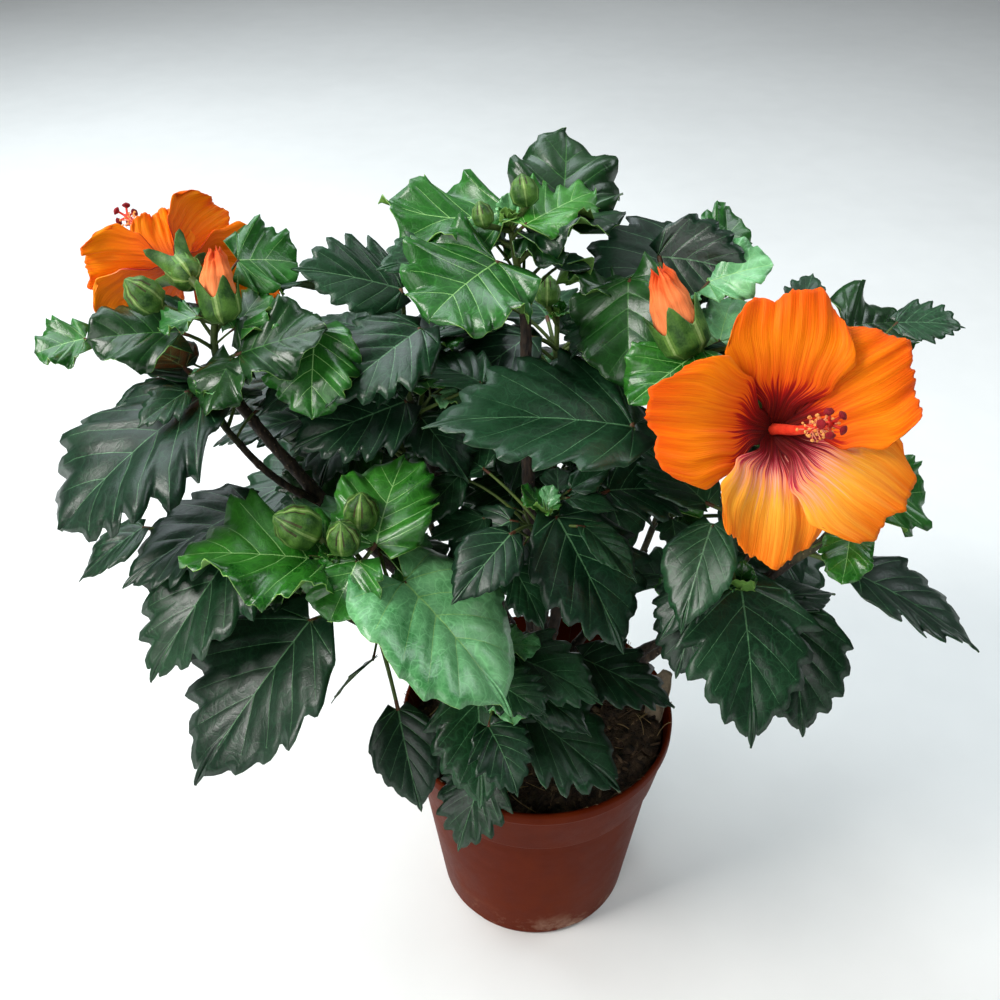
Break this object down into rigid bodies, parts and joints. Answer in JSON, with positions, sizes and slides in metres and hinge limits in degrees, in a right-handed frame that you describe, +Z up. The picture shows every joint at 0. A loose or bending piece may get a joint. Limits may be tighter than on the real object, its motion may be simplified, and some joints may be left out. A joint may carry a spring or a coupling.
{
  "type": "hibiscus shrub",
  "caption": "Potted hibiscus shrub in flower: woody stems, toothed dark and bright green leaves, striped buds and large orange blooms, in a plain terracotta-coloured plastic nursery pot.",
  "frame": {"origin": "centre of the pot's flat underside, on the surface that it stands on", "axes": "+Z up; -Y towards the front, the side that the large open bloom faces; +X to the right seen from the front"},
  "size_m": [0.3727, 0.2492, 0.3705],
  "materials": {
    "pot": "satin",
    "compost": "matte",
    "bark": "matte",
    "leaves": "satin",
    "petals": "matte"
  },
  "bodies": {
    "root": {"trunk": "bark", "bough_leader": "bark", "bough_left": "bark", "bough_left_low": "bark", "bough_centre_left": "bark", "bough_upper_right": "bark", "bough_right": "bark", "bough_lower_right": "bark", "bough_centre": "bark", "bough_front": "bark", "bough_lower_left": "bark", "bough_mid_left": "bark", "bough_back": "bark", "bough_back_left": "bark", "bough_back_right": "bark", "pot": "pot", "soil": "compost", "foliage_top": "leaves", "foliage_left": "leaves", "foliage_left_low": "leaves", "foliage_centre_left": "leaves", "foliage_upper_right": "leaves", "foliage_right": "leaves", "foliage_lower_right": "leaves", "foliage_centre": "leaves", "foliage_front": "leaves", "foliage_lower_left": "leaves", "foliage_mid_left": "leaves", "foliage_back": "leaves", "foliage_back_left": "leaves", "foliage_back_right": "leaves", "bloom_right": "petals", "bloom_left": "petals"}
  },
  "joints": []
}
